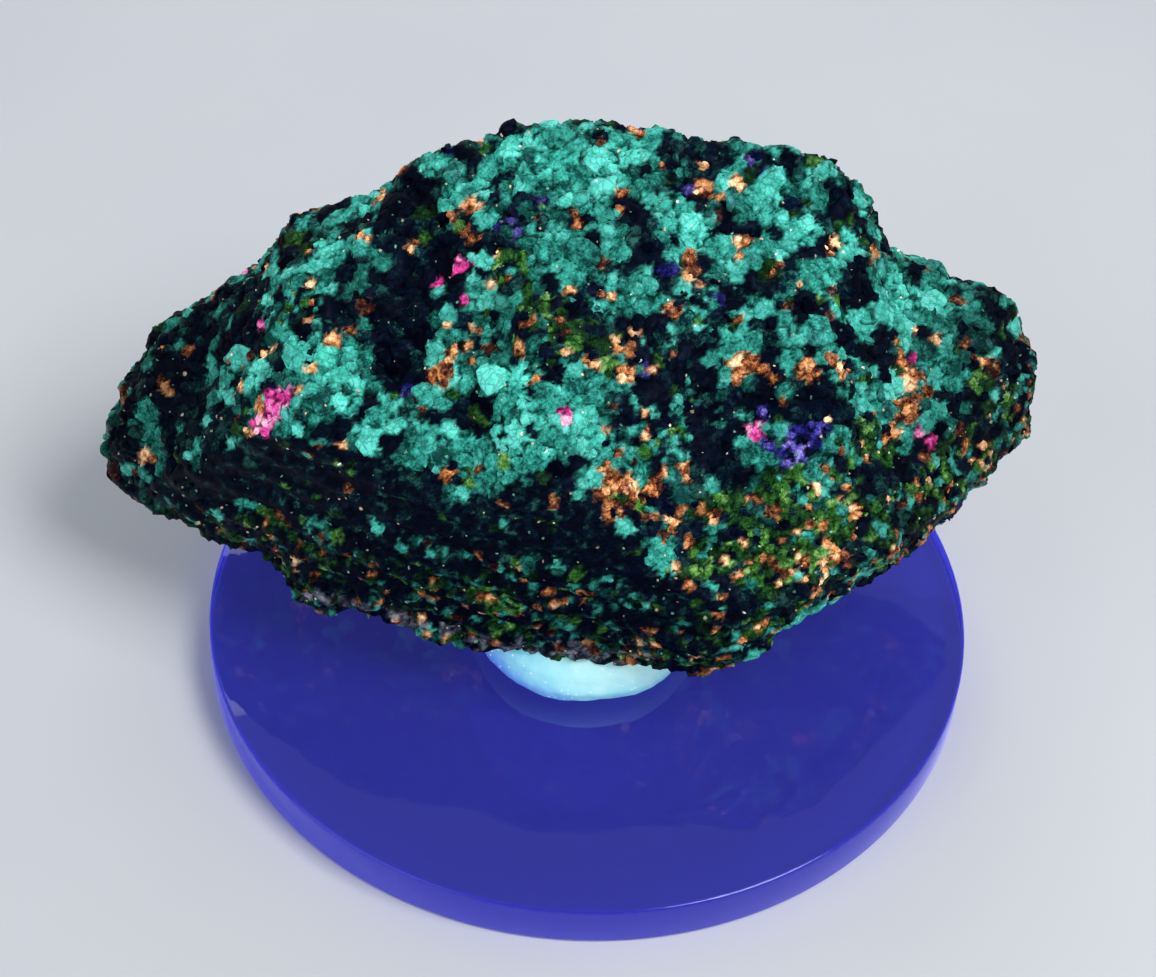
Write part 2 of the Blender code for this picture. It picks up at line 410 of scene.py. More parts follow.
# Painted light: the tack glows in its own colour
tree.links.new(tack_colour, shader.inputs["Emission Color"])
shader.inputs["Emission Strength"].default_value = TACK_GLOW
shader.inputs["Roughness"].default_value = TACK_ROUGHNESS
bumped(tree, shader, object_noise(tree, *TACK_GRAIN), TACK_GRAIN_HEIGHT, TACK_GRAIN_STRENGTH)
tack = add_piece("tack_pat", tack_mesh, tack_material)
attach(tack, "root")
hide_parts("putty")


# Groundmass. The rock as a whole, a lump of grains that grew together, broken so that each one's
# own facet shows, at its own height and tilt, with crevices between that are darkened with painted
# shade. It glows with painted light all over. It is smoother and finely streaked on the parted face,
# and leans in its tack.

# Chlorophane lies in it as a mosaic of glassy green-blue grains, some of them broad and bright,
# with sphalerite in ragged orange clusters, moss-green fluorite low on the right, a few rose and
# violet grains, and near-black ore in pockets and on the parted face, which lies between the brow
# and the foot. Dull ground and dark pockets crowd the left end, where they also paint the shade in
# which that end lies. Each of those is a line of places in the photograph.
BROW_LINE_PX = (
    (100, 476), (141, 486), (180, 470), (212, 454), (251, 442), (294, 434), (330, 442), (355, 457),
    (386, 459), (426, 480), (453, 494), (487, 497), (510, 482), (533, 476), (552, 482), (570, 497),
    (592, 511), (629, 537), (648, 556), (685, 589), (730, 600),
)
FOOT_LINE_PX = (
    (100, 497), (200, 507), (290, 512), (417, 546), (563, 562), (640, 600), (700, 618), (740, 610),
)
PARTED_END_PX, FOOT_END_PX = 735, (770, 700)
BROW_EDGE_PX, PARTED_FOOT_EDGE_PX, FOOT_EDGE_PX = (-3, 4), (-14, 14), (-4, 14)
BROW_RAGGED_PX, PARTED_FOOT_RAGGED_PX = 5, 15
PARTED_WAVE, PARTED_OFFSET = 4.0, 7.3
PARTED_FACING, FOOT_FACING = (-0.1, 0.15), (0.0, 0.3)

# The pale worn edge runs along this line and fades at both ends
WORN_EDGE_PX = ((300, 590), (340, 598), (400, 611), (450, 629), (500, 646), (580, 650), (640, 657))
WORN_EDGE_WIDTH_PX, WORN_RAGGED_PX = 13, 4
WORN_LEFT_PX, WORN_RIGHT_PX = (290, 330), (660, 600)
WORN_WAVE, WORN_OFFSET = 2.5, 3.1
WORN_FACING = -0.1

# Moss-green ground lies below this line and fades in at the left
MOSS_LINE_PX = (
    (640, 592), (690, 552), (730, 505), (770, 478), (830, 468), (858, 425), (890, 425), (935, 442),
    (1000, 405), (1040, 400),
)
MOSS_EDGE_PX, MOSS_LEFT_PX = (-10, 14), (655, 700)
MOSSY_SHARE = 0.8

# Small speckled ground fills a box that fades in over each of its four sides
SPECKLED_LEFT_PX, SPECKLED_RIGHT_PX = (595, 615), (735, 700)
SPECKLED_TOP_PX, SPECKLED_FOOT_PX = (320, 335), (475, 440)


def smooth(low, high, value):
    """0 where the value is at low, 1 where it is at high, and an even S between them."""
    t = np.clip((value - low) / (high - low), 0, 1)
    return t * t * (3 - 2 * t)


def seen_at_px(points):
    """Pixel of the photograph at which each point, in mm, is seen."""
    away = points * MM - np.array(camera_place)
    depth = away @ np.array(forward)
    across = FOCAL_PX * (away @ np.array(camera_right)) / depth
    upward = FOCAL_PX * (away @ np.array(camera_up)) / depth
    return PHOTO_SIZE_PX[0] / 2 + across, PHOTO_SIZE_PX[1] / 2 - upward


def line_at(line, x):
    return np.interp(x, [point[0] for point in line], [point[1] for point in line])


def turned_to_camera(points, normals):
    """Cosine between each normal and the way to the camera."""
    way = np.array(camera_place) / MM - points
    way /= np.linalg.norm(way, axis=1)[:, None]
    return (way * normals).sum(axis=1)


def parted_share(points, normals):
    """1 on the smooth dark face under the brow, 0 elsewhere."""
    x, y = seen_at_px(points)
    ragged = noise_at(points, PARTED_WAVE, PARTED_OFFSET)
    below_brow = smooth(*BROW_EDGE_PX, y - line_at(BROW_LINE_PX, x) + BROW_RAGGED_PX * ragged)
    above_foot = line_at(FOOT_LINE_PX, x) - y + PARTED_FOOT_RAGGED_PX * ragged
    above_foot = smooth(*PARTED_FOOT_EDGE_PX, above_foot)
    facing = smooth(*PARTED_FACING, turned_to_camera(points, normals))
    return below_brow * above_foot * facing * (x < PARTED_END_PX)


def foot_share(points, normals):
    """1 on the rough foot of the front, below the parted face, 0 elsewhere."""
    x, y = seen_at_px(points)
    below = smooth(*FOOT_EDGE_PX, y - line_at(FOOT_LINE_PX, x)) * smooth(*FOOT_END_PX, x)
    return below * smooth(*FOOT_FACING, turned_to_camera(points, normals))


def worn_share(points, normals):
    """1 along the pale worn edge at the foot of the front, 0 elsewhere."""
    x, y = seen_at_px(points)
    off = np.abs(y - line_at(WORN_EDGE_PX, x)) + WORN_RAGGED_PX * noise_at(points, WORN_WAVE, WORN_OFFSET)
    along = smooth(*WORN_LEFT_PX, x) * smooth(*WORN_RIGHT_PX, x)
    facing = turned_to_camera(points, normals) > WORN_FACING
    return smooth(WORN_EDGE_WIDTH_PX, 0, off) * along * facing


# A patch is seen at (x, y) in the photograph and has a radius; few dark grains are in a dense one
DENSE_PATCHES_PX = (
    (560, 190, 80), (480, 170, 45), (600, 250, 45), (500, 420, 85), (590, 430, 50), (330, 370, 50),
    (320, 240, 46), (800, 225, 45), (890, 295, 45), (945, 305, 35), (640, 170, 40), (760, 200, 30),
)
# Dull ground glows less and has more dark ore; its patches along the left end also paint the shade in
# which that end lies
DULL_AND_SHADED_PATCHES_PX = (
    (979, 419, 24), (1000, 380, 26), (985, 440, 22), (1010, 350, 22), (970, 330, 20), (921, 343, 16),
    (150, 400, 36), (190, 340, 30), (240, 290, 26), (170, 440, 20), (560, 320, 40), (500, 330, 34),
    (120, 430, 30), (115, 470, 24), (140, 350, 24), (185, 300, 24), (215, 265, 24), (300, 240, 30),
    (340, 200, 28), (390, 165, 24), (270, 215, 20),
)
# Pockets of near-black ore; those crowded at the left end also paint the shade in which that end lies
DARK_POCKETS_AND_SHADE_PX = (
    (402, 212, 34), (432, 228, 28), (400, 284, 38), (398, 332, 34), (395, 365, 26), (358, 303, 24),
    (150, 380, 26), (165, 320, 22), (130, 440, 16), (250, 290, 16), (205, 270, 18), (490, 245, 14),
    (118, 405, 13), (200, 405, 18), (300, 330, 13), (235, 330, 15), (225, 240, 13), (172, 290, 15),
    (474, 415, 20), (440, 415, 12), (323, 215, 9), (210, 314, 32), (184, 372, 30), (224, 350, 24),
    (224, 423, 18), (246, 328, 12), (112, 440, 9), (670, 145, 15), (714, 141, 14), (640, 230, 15),
    (728, 212, 14), (830, 188, 12), (852, 215, 16), (848, 281, 20), (866, 292, 13), (841, 325, 13),
    (805, 306, 14), (810, 250, 7), (779, 237, 8), (754, 274, 12), (652, 328, 15), (670, 372, 18),
    (706, 379, 16), (695, 419, 14), (710, 452, 24), (732, 474, 18), (805, 390, 20), (826, 401, 16),
    (768, 328, 13), (754, 397, 14), (950, 401, 14), (943, 423, 10), (1004, 335, 24), (997, 306, 15),
    (1014, 350, 14), (740, 590, 22), (790, 600, 20), (840, 590, 16), (190, 425, 24), (185, 400, 22),
    (160, 400, 18), (165, 425, 12), (215, 385, 24), (165, 335, 24), (150, 350, 20), (135, 375, 16),
    (200, 345, 20), (255, 300, 14), (262, 338, 10), (215, 440, 16), (240, 400, 14), (455, 250, 20),
    (468, 262, 14), (470, 165, 14), (500, 178, 10), (430, 190, 16), (405, 185, 14), (460, 285, 12),
    (355, 275, 18), (335, 300, 12), (345, 320, 12), (345, 225, 10), (290, 250, 10), (440, 300, 14),
    (130, 405, 16), (120, 420, 12), (700, 205, 10), (720, 165, 10), (640, 205, 12),
)
BRIGHT_PATCHES_PX = (
    (464, 375, 14), (519, 459, 15), (424, 459, 13), (552, 394, 14), (486, 433, 8), (572, 394, 16),
    (597, 434, 15), (623, 437, 11), (540, 430, 30), (583, 183, 34), (623, 150, 20), (754, 208, 12),
    (699, 237, 16), (801, 230, 18), (812, 281, 11), (837, 310, 9), (812, 335, 13), (855, 248, 12),
    (903, 292, 22), (932, 295, 15), (866, 314, 16), (344, 364, 26), (144, 419, 8), (177, 437, 9),
    (560, 155, 16), (500, 160, 16), (330, 240, 12), (300, 220, 10), (945, 275, 12), (1010, 300, 8),
    (500, 400, 30), (470, 440, 24), (560, 440, 20), (350, 400, 16), (198, 436, 6), (262, 378, 10),
)
SPHALERITE_PX = (
    (472, 204, 11), (468, 233, 10), (413, 248, 9), (381, 197, 10), (366, 235, 8), (312, 250, 7),
    (310, 286, 4), (315, 299, 5), (326, 312, 5), (348, 330, 5), (311, 364, 6), (267, 353, 7),
    (268, 266, 5), (258, 310, 5), (366, 390, 5), (441, 375, 12), (448, 353, 8), (448, 328, 5),
    (492, 284, 8), (570, 286, 6), (526, 321, 6), (577, 219, 7), (148, 461, 10), (163, 346, 5),
    (243, 386, 5), (245, 432, 6), (301, 464, 5), (294, 479, 5), (450, 472, 8), (595, 361, 8),
    (605, 266, 7), (610, 292, 8), (672, 306, 9), (692, 255, 7), (692, 274, 8), (737, 185, 9),
    (699, 186, 8), (745, 241, 8), (737, 255, 7), (772, 266, 8), (832, 245, 9), (619, 206, 4),
    (721, 361, 7), (743, 368, 12), (774, 372, 8), (808, 368, 11), (845, 372, 11), (859, 397, 6),
    (830, 423, 6), (915, 379, 14), (903, 365, 8), (906, 412, 13), (895, 430, 8), (928, 390, 9),
    (957, 299, 7), (968, 279, 9), (981, 288, 7), (915, 328, 6), (986, 361, 7), (626, 375, 8),
    (623, 343, 8), (603, 466, 8), (646, 434, 7), (685, 470, 9), (659, 477, 10), (619, 503, 12),
    (648, 495, 9), (608, 517, 6), (670, 535, 9), (688, 546, 9), (674, 566, 6), (728, 561, 7),
    (790, 572, 8), (804, 579, 8), (830, 546, 8), (826, 572, 9), (848, 564, 9), (854, 510, 6),
    (819, 492, 7), (888, 503, 7), (972, 461, 6), (990, 466, 5), (685, 634, 7), (612, 478, 10),
    (632, 490, 10), (650, 510, 10), (668, 522, 10), (640, 522, 8), (700, 530, 8), (714, 518, 7),
    (690, 510, 7), (628, 512, 7), (600, 492, 7), (770, 560, 7), (800, 560, 8), (815, 590, 7),
    (840, 560, 9), (780, 585, 6), (720, 600, 5), (760, 625, 5), (660, 640, 4), (742, 640, 5),
    (385, 180, 8), (452, 215, 7),
)
MOSS_PX = (
    (866, 379, 9), (870, 426, 16), (877, 452, 20), (932, 477, 22), (783, 488, 22), (852, 481, 14),
    (801, 539, 34), (841, 521, 24), (746, 539, 24), (754, 575, 18), (706, 561, 14), (986, 386, 13),
    (961, 485, 14), (572, 335, 13), (586, 328, 12), (721, 510, 16), (494, 597, 22), (501, 619, 15),
    (574, 583, 12), (508, 266, 18), (545, 314, 24), (563, 343, 16), (519, 346, 13), (1010, 410, 16),
)
ROSE_PX = (
    (272, 404, 17), (262, 424, 11), (280, 392, 10), (259, 325, 6), (457, 265, 7), (463, 299, 4),
    (436, 283, 6), (566, 415, 8), (752, 428, 8), (755, 441, 5), (914, 357, 5), (935, 441, 6),
    (917, 434, 4),
)
VIOLET_PX = (
    (775, 436, 13), (805, 438, 16), (822, 430, 10), (790, 452, 12), (786, 466, 8), (762, 412, 7),
    (283, 398, 5),
)
DEEP_BLUE_PX = (
    (508, 219, 15), (534, 200, 9), (446, 150, 7), (757, 165, 10), (686, 185, 7), (645, 370, 6),
    (720, 300, 6),
)

# Each ground's patches, how ragged their edges are, and whether a grain that only reaches one counts
GROUND_PATCHES = {
    "dull": (DULL_AND_SHADED_PATCHES_PX, 0.3, False),
    "bright": (BRIGHT_PATCHES_PX, 0.2, False),
    "dark": (DARK_POCKETS_AND_SHADE_PX, 0.3, False),
    "moss": (MOSS_PX, 0.4, True),
    "orange": (SPHALERITE_PX, 0.3, True),
    "deep blue": (DEEP_BLUE_PX, 0.3, True),
    "violet": (VIOLET_PX, 0.3, True),
    "rose": (ROSE_PX, 0.1, True),
}
PATCH_EDGE, EDGE_WAVE, EDGE_OFFSET = (1.2, 0.8), 1.8, 11.0

# Grounds also lie where a noise, of this wave in mm and this offset, rises from the third number
# to the fourth: five of them where the stone is hidden, and two scattered over all of it
HIDDEN_PATCHES = {
    "dark": (8.0, 1.7, 0.05, 0.30),
    "moss": (11.0, 9.1, 0.20, 0.40),
    "orange": (5.0, 4.4, 0.32, 0.40),
    "deep blue": (6.0, 2.2, 0.50, 0.60),
    "rose": (4.0, 6.6, 0.62, 0.66),
}
HIDDEN_FACING = (0.3, 0.0)
SCATTERED_DARK = (3.0, 14.0, 0.09, 0.24)
SCATTERED_SPECKLED = (7.0, 8.8, 0.12, 0.25)
DENSE_CLEARING, DENSE_RAGGED = 0.85, 0.3

STONE_VOXEL = 0.53 * MM
stone_mesh = remeshed_copy("specimen", "ore_groundmass", STONE_VOXEL)
stone = add_piece("ore_groundmass", stone_mesh, bpy.data.materials.new("ore"))
stone_points = coordinates(stone_mesh) / MM
stone_normals = normals_of(stone_mesh)
bare_stone = BVHTree.FromPolygons(
    [Vector(point) for point in stone_points], [tuple(face.vertices) for face in stone_mesh.polygons]
)


def on_stone(patches):
    """Centre and radius, in mm, of each patch where the line of sight meets the stone."""
    eye = camera_place / MM
    centres, radii = [], []
    for x, y, radius in patches:
        across = camera_right * (x - PHOTO_SIZE_PX[0] / 2)
        upward = camera_up * (PHOTO_SIZE_PX[1] / 2 - y)
        hit = bare_stone.ray_cast(eye, (forward * FOCAL_PX + across + upward).normalized())[0]
        if hit is not None:
            centres.append(hit)
            radii.append(radius * (hit - eye).dot(forward) / FOCAL_PX)
    return np.array(centres), np.array(radii)


def patch_share(points, patches, ragged, reach):
    """1 within reach, in mm, of a patch and 0 away from all of them, with a ragged edge."""
    centres, radii = on_stone(patches)
    squares = (points ** 2).sum(axis=1)[:, None] + (centres ** 2).sum(axis=1) - 2 * points @ centres.T
    nearest = ((np.sqrt(np.maximum(squares, 0)) - reach) / radii).min(axis=1)
    return smooth(*PATCH_EDGE, nearest + ragged * noise_at(points, EDGE_WAVE, EDGE_OFFSET))


def noisy_share(points, wave, offset, low, high):
    return smooth(low, high, noise_at(points, wave, offset))


def stone_grounds(points, normals, reach):
    """How far each kind of ground takes up the stone at each point, from 0 to 1."""
    x, y = seen_at_px(points)
    hidden = smooth(*HIDDEN_FACING, turned_to_camera(points, normals))
    shares = {
        name: patch_share(points, patches, ragged, reach if reaching else 0.0)
        for name, (patches, ragged, reaching) in GROUND_PATCHES.items()
    }
    for name, noise_patches in HIDDEN_PATCHES.items():
        shares[name] = np.maximum(shares[name], hidden * noisy_share(points, *noise_patches))
    not_bright = 1 - shares["bright"]
    not_dense = 1 - DENSE_CLEARING * patch_share(points, DENSE_PATCHES_PX, DENSE_RAGGED, reach=0.0)
    scattered_dark = not_bright * not_dense * noisy_share(points, *SCATTERED_DARK)
    shares["dark"] = np.maximum(shares["dark"], scattered_dark)
    across = smooth(*SPECKLED_LEFT_PX, x) * smooth(*SPECKLED_RIGHT_PX, x)
    down = smooth(*SPECKLED_TOP_PX, y) * smooth(*SPECKLED_FOOT_PX, y)
    scattered_speckled = not_bright * noisy_share(points, *SCATTERED_SPECKLED)
    shares["speckled"] = np.maximum(across * down * (1 - hidden), scattered_speckled)
    below_moss_line = smooth(*MOSS_EDGE_PX, y - line_at(MOSS_LINE_PX, x)) * smooth(*MOSS_LEFT_PX, x)
    shares["mossy"] = MOSSY_SHARE * below_moss_line * (1 - hidden)
    shares["low"] = foot_share(points, normals)
    shares["worn"] = worn_share(points, normals)
    shares["parted"] = parted_share(points, normals)
    return shares


TRIES_PER_PLACE = 4.0


def scatter_tree():
    """Points spread over a surface, none nearer than Spacing to another, each with its normal."""
    tree = bpy.data.node_groups.new("scatter_on_stone", "GeometryNodeTree")
    tree.interface.new_socket("Geometry", in_out="INPUT", socket_type="NodeSocketGeometry")
    tree.interface.new_socket("Spacing", in_out="INPUT", socket_type="NodeSocketFloat")
    tree.interface.new_socket("Seed", in_out="INPUT", socket_type="NodeSocketInt")
    tree.interface.new_socket("Geometry", in_out="OUTPUT", socket_type="NodeSocketGeometry")
    given = tree.nodes.new("NodeGroupInput").outputs
    crowding = maths(tree, "MULTIPLY", maths(tree, "POWER", given["Spacing"], -2.0), TRIES_PER_PLACE)
    spread = add_node(
        tree, "GeometryNodeDistributePointsOnFaces", {"distribute_method": "POISSON"},
        Mesh=given["Geometry"], Distance_Min=given["Spacing"], Density_Max=crowding, Seed=given["Seed"],
    )
    kept = add_node(
        tree, "GeometryNodeStoreNamedAttribute", {"data_type": "FLOAT_VECTOR", "domain": "POINT"},
        Geometry=spread.outputs["Points"], Name="facing", Value=spread.outputs["Normal"],
    )
    vertices = add_node(tree, "GeometryNodePointsToVertices", Points=kept.outputs["Geometry"])
    result = tree.nodes.new("NodeGroupOutput")
    tree.links.new(vertices.outputs["Mesh"], result.inputs["Geometry"])
    return tree


def set_inputs(modifier, values):
    """Sets a Geometry Nodes modifier's inputs by name, through their identifiers."""
    for item in modifier.node_group.interface.items_tree:
        if item.item_type == "SOCKET" and item.in_out == "INPUT" and item.name in values:
            modifier[item.identifier] = values[item.name]


SCATTER = scatter_tree()


def scattered(spacing, seed):
    """Places, in mm, and normals of points spread over the groundmass."""
    modifier = stone.modifiers.new("scatter", "NODES")
    modifier.node_group = SCATTER
    set_inputs(modifier, {"Spacing": spacing * MM, "Seed": seed})
    cloud = settled_mesh(stone, "scattered")
    stone.modifiers.remove(modifier)
    facing = np.empty(len(cloud.vertices) * 3, np.float32)
    cloud.attributes["facing"].data.foreach_get("vector", facing)
    return coordinates(cloud) / MM, facing.reshape(-1, 3).astype(float)


# For each ground: the shares of the minerals in it, the strength of their painted glow, the share
# of its grains that stand proud, and whether they are small
MINERALS = (
    "chlorophane", "dark_ore", "moss_fluorite", "sphalerite", "violet_fluorite", "rose_fluorite",
    "pale_crust",
)
GROUND_MIXES = {
    "plain": ((0.85, 0.10, 0.025, 0.023, 0.002, 0.00, 0.00), 1.00, 0.55, False),
    "dull": ((0.50, 0.36, 0.12, 0.02, 0.00, 0.00, 0.00), 0.47, 0.55, False),
    "bright": ((0.97, 0.02, 0.00, 0.01, 0.00, 0.00, 0.00), 1.18, 0.50, False),
    "speckled": ((0.47, 0.34, 0.09, 0.10, 0.00, 0.00, 0.00), 0.80, 0.60, True),
    "mossy": ((0.16, 0.32, 0.40, 0.12, 0.00, 0.00, 0.00), 0.75, 0.60, True),
    "dark": ((0.035, 0.920, 0.030, 0.013, 0.002, 0.00, 0.00), 0.60, 0.40, False),
    "low": ((0.12, 0.60, 0.19, 0.09, 0.00, 0.00, 0.00), 0.60, 0.60, True),
    "moss": ((0.10, 0.17, 0.64, 0.09, 0.00, 0.00, 0.00), 0.95, 0.70, True),
    "orange": ((0.03, 0.17, 0.04, 0.76, 0.00, 0.00, 0.00), 1.10, 0.85, True),
    "deep blue": ((0.10, 0.20, 0.00, 0.00, 0.70, 0.00, 0.00), 0.35, 0.60, True),
    "violet": ((0.06, 0.40, 0.00, 0.00, 0.54, 0.00, 0.00), 0.80, 0.80, True),
    "rose": ((0.02, 0.02, 0.00, 0.02, 0.02, 0.92, 0.00), 1.15, 0.85, True),
    "worn": ((0.06, 0.08, 0.05, 0.05, 0.00, 0.00, 0.76), 0.90, 0.30, True),
    "parted": ((0.003, 0.965, 0.025, 0.007, 0.00, 0.00, 0.00), 0.75, 0.08, True),
}
# Painted shade: over each end of the stone the glow falls off between two places, by this share of it,
# as the lamp's light falls off towards the ends
LEFT_PAINTED_SHADE_PX, LEFT_PAINTED_SHADE = (300, 130), 0.40
RIGHT_PAINTED_SHADE_PX, RIGHT_PAINTED_SHADE = (840, 930), 0.25
GLOW_WAVE, GLOW_CHANGE = 5.0, 0.3
TONE_WAVE, TONE_OFFSET, TONE_CHANGE = 4.0, 17.0, 0.3
TONE_DRAW, GLOW_TONE, GLOW_TONE_MIDDLE = (0.0, 0.9), 0.3, 0.9
SMALLEST, LARGEST = 0.6, 1.5
BRIGHT_KEEP = 0.85
DRAWS_SEED = 20
draws = np.random.default_rng(DRAWS_SEED)


def seeded(spacing, seed, small, size, spread, reach, keep=1.0):
    """Grain seeds on the stone: a table of their places, normals and what grows from each.

    Spacing, size and reach are in mm. Only a share, keep, of the chlorophane seeds is kept, where
    that is less than 1, with more of them on bright ground and none of the other minerals.
    """
    points, normals = scattered(spacing, seed)
    count = len(points)
    names = list(GROUND_MIXES)
    shares = stone_grounds(points, normals, reach)
    ground = np.zeros(count, int)
    for index, name in enumerate(names[1:], 1):
        ground[draws.random(count) < shares[name]] = index
    mixes, glows, proud_shares, is_small = (np.array(column) for column in zip(*GROUND_MIXES.values()))
    mineral = (draws.random(count)[:, None] > np.cumsum(mixes, axis=1)[ground]).sum(axis=1)
    x, _ = seen_at_px(points)
    # Painted shade, dimmer towards both ends of the stone
    fade = 1 - LEFT_PAINTED_SHADE * smooth(*LEFT_PAINTED_SHADE_PX, x) - RIGHT_PAINTED_SHADE * smooth(*RIGHT_PAINTED_SHADE_PX, x)
    glow = glows[ground]
    proud = draws.random(count) < proud_shares[ground]
    sizes = draws.lognormal(math.log(size), spread, count)
    tone = draws.uniform(*TONE_DRAW, count) + TONE_CHANGE * noise_at(points, TONE_WAVE, TONE_OFFSET)
    table = {
        "place": points,
        "normal": normals,
        "mineral": np.minimum(mineral, len(MINERALS) - 1),
        "glow": glow * (1 + GLOW_CHANGE * noise_at(points, GLOW_WAVE)) * fade,
        "proud": proud,
        "size": np.clip(sizes, SMALLEST * size, LARGEST * size),
        "dice": np.clip(tone + GLOW_TONE * (glow - GLOW_TONE_MIDDLE), 0, 1),
    }
    kept = is_small[ground] == small
    if keep < 1:
        lucky = draws.random(count) < np.where(ground == names.index("bright"), BRIGHT_KEEP, keep)
        kept &= (table["mineral"] == MINERALS.index("chlorophane")) & lucky
    return {key: values[kept] for key, values in table.items()}


def joined(first, second):
    return {key: np.concatenate((first[key], second[key])) for key in first}


def part_of(table, chosen):
    return {key: values[chosen] for key, values in table.items()}


def overhang(table):
    """Furthest, in mm, that any of four places on a grain's rim is from the stone under it."""
    furthest = []
    for place, normal, size in zip(table["place"], table["normal"], table["size"]):
        across = Vector(normal).orthogonal().normalized() * size / 2
        along = Vector(normal).cross(across)
        rim = (Vector(place) + side for side in (across, -across, along, -along))
        furthest.append(max(bare_stone.find_nearest(point)[3] for point in rim))
    return np.array(furthest)


def tree_of(points):
    tree = KDTree(len(points))
    for index, place in enumerate(points):
        tree.insert(place, index)
    tree.balance()
    return tree


# A broad grain is chlorophane, lies flat, and leaves no room for a fine one near its middle
BROAD_SPACING = 2.9
MOST_OVERHANG = 0.8
ROOM_ROUND_BROAD = 0.42 * BROAD_SPACING
broad = seeded(BROAD_SPACING, seed=3, small=False, size=3.6, spread=0.16, reach=1.2, keep=0.28)
broad["proud"] &= overhang(broad) < MOST_OVERHANG
fine = seeded(spacing=1.40, seed=11, small=False, size=1.8, spread=0.26, reach=0.4)
broad_tree = tree_of(broad["place"])
clear = np.array([broad_tree.find(place)[2] > ROOM_ROUND_BROAD for place in fine["place"]])
seeds = joined(broad, part_of(fine, clear))
seeds = joined(seeds, seeded(spacing=0.82, seed=17, small=True, size=1.1, spread=0.25, reach=0.0))

# The stone's surface is parted into cells, one round each seed and as large as its grain
NEIGHBOURS = 7
RAGGED_EDGE, RAGGED_WAVE, RAGGED_OFFSETS = 0.35, 1.1, (21.0, 35.0, 47.0)
CREVICE_SHARE, CREVICE_WIDTH = 0.21, 0.45
FACET_SHARE, FACET_TILT = 0.12, 0.22
LOWEST_FACET, HIGHEST_FACET = -0.5, 0.35
PARTED_SMOOTHING = 0.8
FOOT_SWELL = 0.7
STRIA_SIZE, STRIA_HEIGHT, STRIA_STRETCH = 1.1, 0.20, np.array((0.12, 1.0, 1.0))


def set_attribute(mesh, name, values):
    mesh.attributes.new(name, "FLOAT", "POINT").data.foreach_set("value", values.astype(np.float32))


wobble = np.column_stack([noise_at(stone_points, RAGGED_WAVE, offset) for offset in RAGGED_OFFSETS])
seed_tree = tree_of(seeds["place"])
found = [seed_tree.find_n(point, NEIGHBOURS) for point in stone_points + RAGGED_EDGE * wobble]
near = np.array([[item[1] for item in row] for row in found])
apart = np.array([[item[2] for item in row] for row in found]) / seeds["size"][near]
order = np.argsort(apart, axis=1)[:, :2]
rows = np.arange(len(near))
cell = near[rows, order[:, 0]]
inward = (apart[rows, order[:, 1]] - apart[rows, order[:, 0]]) * seeds["size"][cell]
open_face = smooth(0, CREVICE_WIDTH, inward)
parted = parted_share(stone_points, stone_normals)
lifts = seeds["size"] * draws.normal(scale=FACET_SHARE, size=len(seeds["size"]))
tilts = draws.normal(scale=FACET_TILT, size=(len(seeds["size"]), 3))
facets = lifts[cell] + (tilts[cell] * (stone_points - seeds["place"][cell])).sum(axis=1)
crevices = CREVICE_SHARE * seeds["size"][cell] * (1 - open_face)
facets = np.clip(facets, LOWEST_FACET, HIGHEST_FACET) - crevices
striae = STRIA_HEIGHT * noise_at(stone_points * STRIA_STRETCH, STRIA_SIZE)
swell = FOOT_SWELL * foot_share(stone_points, stone_normals)
push = facets * (1 - PARTED_SMOOTHING * parted) + striae * parted + swell
move_to(stone_mesh, (stone_points + stone_normals * push[:, None]) * MM)
for index, mineral in enumerate(MINERALS):
    set_attribute(stone_mesh, mineral, seeds["mineral"][cell] == index)
set_attribute(stone_mesh, "dice", seeds["dice"][cell])
set_attribute(stone_mesh, "glow", seeds["glow"][cell])
# Rise is 1 on a cell's open facet and 0 deep in a crevice; the material paints shade where it is low
set_attribute(stone_mesh, "rise", open_face)

MINERAL_TONES = {
    "chlorophane": (
        (0.0, (0.003, 0.042, 0.034)), (0.3, (0.014, 0.165, 0.128)), (0.6, (0.035, 0.315, 0.250)),
        (0.85, (0.055, 0.400, 0.325)), (1.0, (0.095, 0.500, 0.420)),
    ),
    "dark_ore": (
        (0.0, (0.0003, 0.0009, 0.0045)), (0.35, (0.0008, 0.0028, 0.0120)), (0.6, (0.0014, 0.0080, 0.0170)),
        (0.8, (0.0035, 0.0230, 0.0250)), (1.0, (0.016, 0.085, 0.070)),
    ),
    "moss_fluorite": (
        (0.0, (0.003, 0.018, 0.003)), (0.4, (0.012, 0.065, 0.010)), (0.75, (0.045, 0.170, 0.022)),
        (1.0, (0.180, 0.360, 0.100)),
    ),
    "sphalerite": (
        (0.0, (0.035, 0.008, 0.003)), (0.22, (0.160, 0.045, 0.014)), (0.50, (0.500, 0.180, 0.055)),
        (0.75, (0.760, 0.370, 0.150)), (1.0, (0.950, 0.640, 0.380)),
    ),
    "violet_fluorite": (
        (0.0, (0.003, 0.003, 0.060)), (0.4, (0.025, 0.025, 0.240)), (0.75, (0.120, 0.095, 0.520)),
        (1.0, (0.380, 0.290, 0.780)),
    ),
    "rose_fluorite": (
        (0.0, (0.260, 0.015, 0.100)), (0.35, (0.580, 0.040, 0.250)), (0.7, (0.760, 0.130, 0.440)),
        (1.0, (0.900, 0.420, 0.560)),
    ),
    "pale_crust": (
        (0.0, (0.014, 0.016, 0.026)), (0.5, (0.075, 0.082, 0.110)), (1.0, (0.210, 0.215, 0.260)),
    ),
}
MOTTLE, MOTTLE_CONTRAST = (650.0, 4.0, 0.85), 2.8
CRACKS_PER_METRE, CRACK_WIDTH, LEFT_IN_CRACKS = 850.0, 0.13, 0.56
BEND_WAVES, BEND = 1200.0, 0.7 * MM
